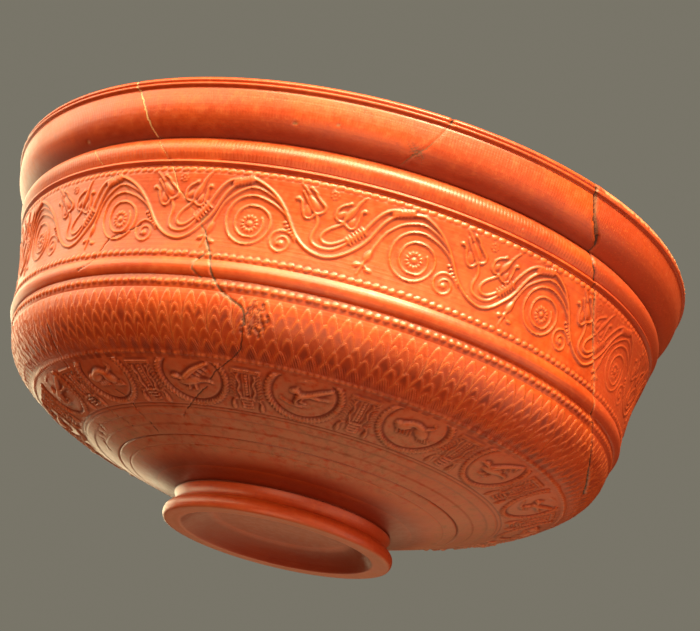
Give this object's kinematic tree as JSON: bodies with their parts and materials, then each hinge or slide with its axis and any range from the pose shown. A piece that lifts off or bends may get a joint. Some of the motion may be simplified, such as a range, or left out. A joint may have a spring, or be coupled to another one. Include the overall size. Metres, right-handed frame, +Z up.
{
  "type": "terra sigillata bowl",
  "caption": "Mould-made carinated bowl in red-slipped ceramic, with turned rim mouldings, a raised scroll frieze, a medallion band and a low ring foot",
  "frame": {"origin": "on the bowl's axis, at the level of the foot's resting face", "axes": "+Z up along the bowl's axis of turning, -Y towards the side that the picture shows most squarely, +X to that side's right"},
  "size_m": [0.2497, 0.2498, 0.1137],
  "materials": {
    "red_slip": "glossy red slip over a fine orange body, worn to the bare clay on edges and under the foot, dusty low on the body"
  },
  "bodies": {
    "root": {"bowl": "red_slip"}
  },
  "joints": []
}
